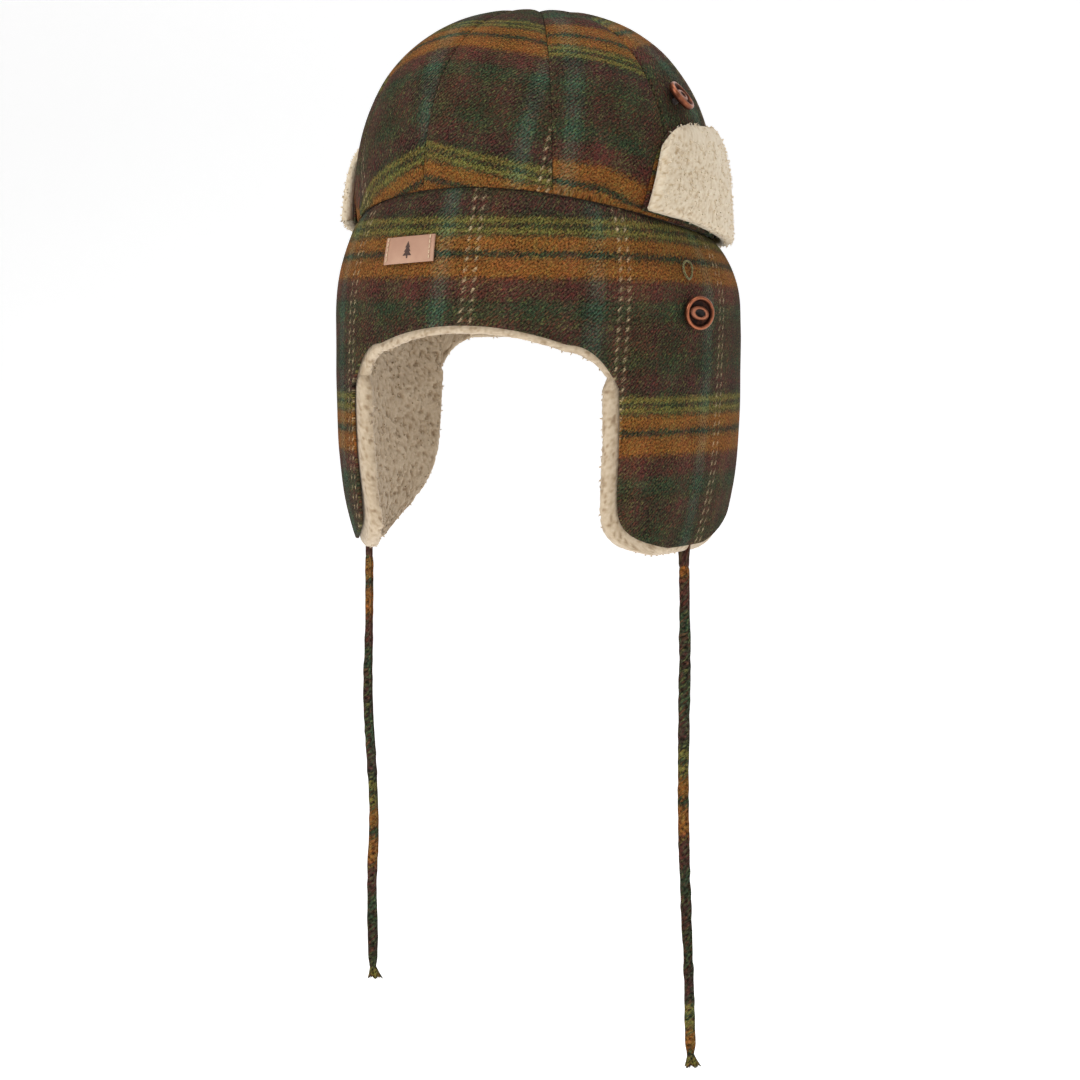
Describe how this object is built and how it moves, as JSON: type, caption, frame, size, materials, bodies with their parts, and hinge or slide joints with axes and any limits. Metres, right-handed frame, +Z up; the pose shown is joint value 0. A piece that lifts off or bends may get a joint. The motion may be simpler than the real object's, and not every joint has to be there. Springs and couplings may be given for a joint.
{
  "type": "trapper hat",
  "caption": "Plaid trapper hat with a sherpa lining, fold-up ear flaps, a turned-up neck flap, two shank buttons, a leather label and two hanging ties.",
  "frame": {"origin": "centre of the head opening, level with the lower edge of the brow at its middle height", "axes": "+Z up towards the crown, -Y towards the wearer's face, +X towards the wearer's left ear"},
  "size_m": [0.1991, 0.236, 0.5162],
  "materials": {
    "plaid_crown": "brushed wool plaid in aubergine, ochre, maroon, green and lime",
    "plaid_band": "brushed wool plaid, the same cloth",
    "sherpa_cream": "curly sherpa pile",
    "quilt_lining": "satin quilted lining",
    "label_leather": "smooth tan leather",
    "label_thread": "waxed thread",
    "button_copper": "antiqued copper",
    "button_boss": "almond, satin",
    "button_thread": "thread",
    "loop_olive": "twisted thread",
    "tie_plaid": "the same plaid cloth, folded to a narrow strip and stitched"
  },
  "bodies": {
    "hat": {"crown_panel_1": "plaid_crown", "crown_panel_2": "plaid_crown", "crown_panel_3": "plaid_crown", "crown_panel_4": "plaid_crown", "crown_panel_5": "plaid_crown", "crown_panel_6": "plaid_crown", "crown_panel_7": "plaid_crown", "crown_panel_8": "plaid_crown", "crown_lining_front_left": "quilt_lining", "crown_lining_back_left": "quilt_lining", "crown_lining_back_right": "quilt_lining", "crown_lining_front_right": "quilt_lining", "band_front": "plaid_band", "band_left": "plaid_band", "band_back": "plaid_band", "band_right": "plaid_band", "band_lining_front": "sherpa_cream", "band_lining_left": "sherpa_cream", "band_lining_back": "sherpa_cream", "band_lining_right": "sherpa_cream", "label_patch": "label_leather", "label_stitches": "label_thread", "flap_button_shell": "button_copper", "flap_button_boss": "button_boss", "flap_button_shank": "button_thread", "crown_button_shell": "button_copper", "crown_button_boss": "button_boss", "crown_button_shank": "button_thread", "thread_loop": "loop_olive"},
    "ear_flap_left": {"ear_flap_left": "plaid_band", "ear_flap_lining_left": "sherpa_cream", "tie_root_left": "tie_plaid"},
    "tie_left": {"tie_left": "tie_plaid", "tie_end_left": "tie_plaid"},
    "ear_flap_right": {"ear_flap_right": "plaid_band", "ear_flap_lining_right": "sherpa_cream", "tie_root_right": "tie_plaid"},
    "tie_right": {"tie_right": "tie_plaid", "tie_end_right": "tie_plaid"},
    "neck_flap_back": {"neck_flap_back": "plaid_band", "neck_flap_pile_back": "sherpa_cream"},
    "neck_flap_side_left": {"neck_flap_side_left": "plaid_band", "neck_flap_pile_side_left": "sherpa_cream"},
    "neck_flap_side_right": {"neck_flap_side_right": "plaid_band", "neck_flap_pile_side_right": "sherpa_cream"},
    "neck_flap_front_left": {"neck_flap_front_left": "plaid_band", "neck_flap_pile_front_left": "sherpa_cream"},
    "neck_flap_front_right": {"neck_flap_front_right": "plaid_band", "neck_flap_pile_front_right": "sherpa_cream"}
  },
  "joints": [
    {"name": "ear_flap_left_fold", "type": "hinge", "parent": "hat", "child": "ear_flap_left", "pos_m": [0.0995, 0, -0.02], "axis": [0, -1, 0], "range_deg": [-4, 115]},
    {"name": "tie_left_swing", "type": "hinge", "parent": "ear_flap_left", "child": "tie_left", "pos_m": [0.08136, -0.02639, -0.1085], "axis": [0, -1, 0], "range_deg": [-120, 10]},
    {"name": "ear_flap_right_fold", "type": "hinge", "parent": "hat", "child": "ear_flap_right", "pos_m": [-0.0995, 0, -0.02], "axis": [0, 1, 0], "range_deg": [-4, 115]},
    {"name": "tie_right_swing", "type": "hinge", "parent": "ear_flap_right", "child": "tie_right", "pos_m": [-0.08136, -0.02639, -0.1085], "axis": [0, 1, 0], "range_deg": [-120, 10]},
    {"name": "neck_flap_back_turn", "type": "hinge", "parent": "hat", "child": "neck_flap_back", "pos_m": [0, 0.1081, 0.04951], "axis": [-1, 0, 0], "range_deg": [0, 160]},
    {"name": "neck_flap_side_left_turn", "type": "hinge", "parent": "hat", "child": "neck_flap_side_left", "pos_m": [0.07598, 0.06427, 0.05036], "axis": [-0.5597, 0.8285, -0.02], "range_deg": [0, 160]},
    {"name": "neck_flap_side_right_turn", "type": "hinge", "parent": "hat", "child": "neck_flap_side_right", "pos_m": [-0.07598, 0.06427, 0.05036], "axis": [-0.5597, -0.8285, 0.02], "range_deg": [0, 160]},
    {"name": "neck_flap_front_left_turn", "type": "hinge", "parent": "hat", "child": "neck_flap_front_left", "pos_m": [0.09458, -0.02506, 0.05706], "axis": [0.1544, 0.9807, -0.1201], "range_deg": [0, 160]},
    {"name": "neck_flap_front_right_turn", "type": "hinge", "parent": "hat", "child": "neck_flap_front_right", "pos_m": [-0.09593, -0.0118, 0.0549], "axis": [0.0516, -0.9934, 0.1025], "range_deg": [0, 160]}
  ],
  "couplings": [
    {"joint": "tie_left_swing", "follows": "ear_flap_left_fold", "ratio": -1},
    {"joint": "tie_right_swing", "follows": "ear_flap_right_fold", "ratio": -1},
    {"joint": "neck_flap_side_left_turn", "follows": "neck_flap_back_turn", "ratio": 1},
    {"joint": "neck_flap_side_right_turn", "follows": "neck_flap_back_turn", "ratio": 1},
    {"joint": "neck_flap_front_left_turn", "follows": "neck_flap_back_turn", "ratio": 1},
    {"joint": "neck_flap_front_right_turn", "follows": "neck_flap_back_turn", "ratio": 1}
  ]
}
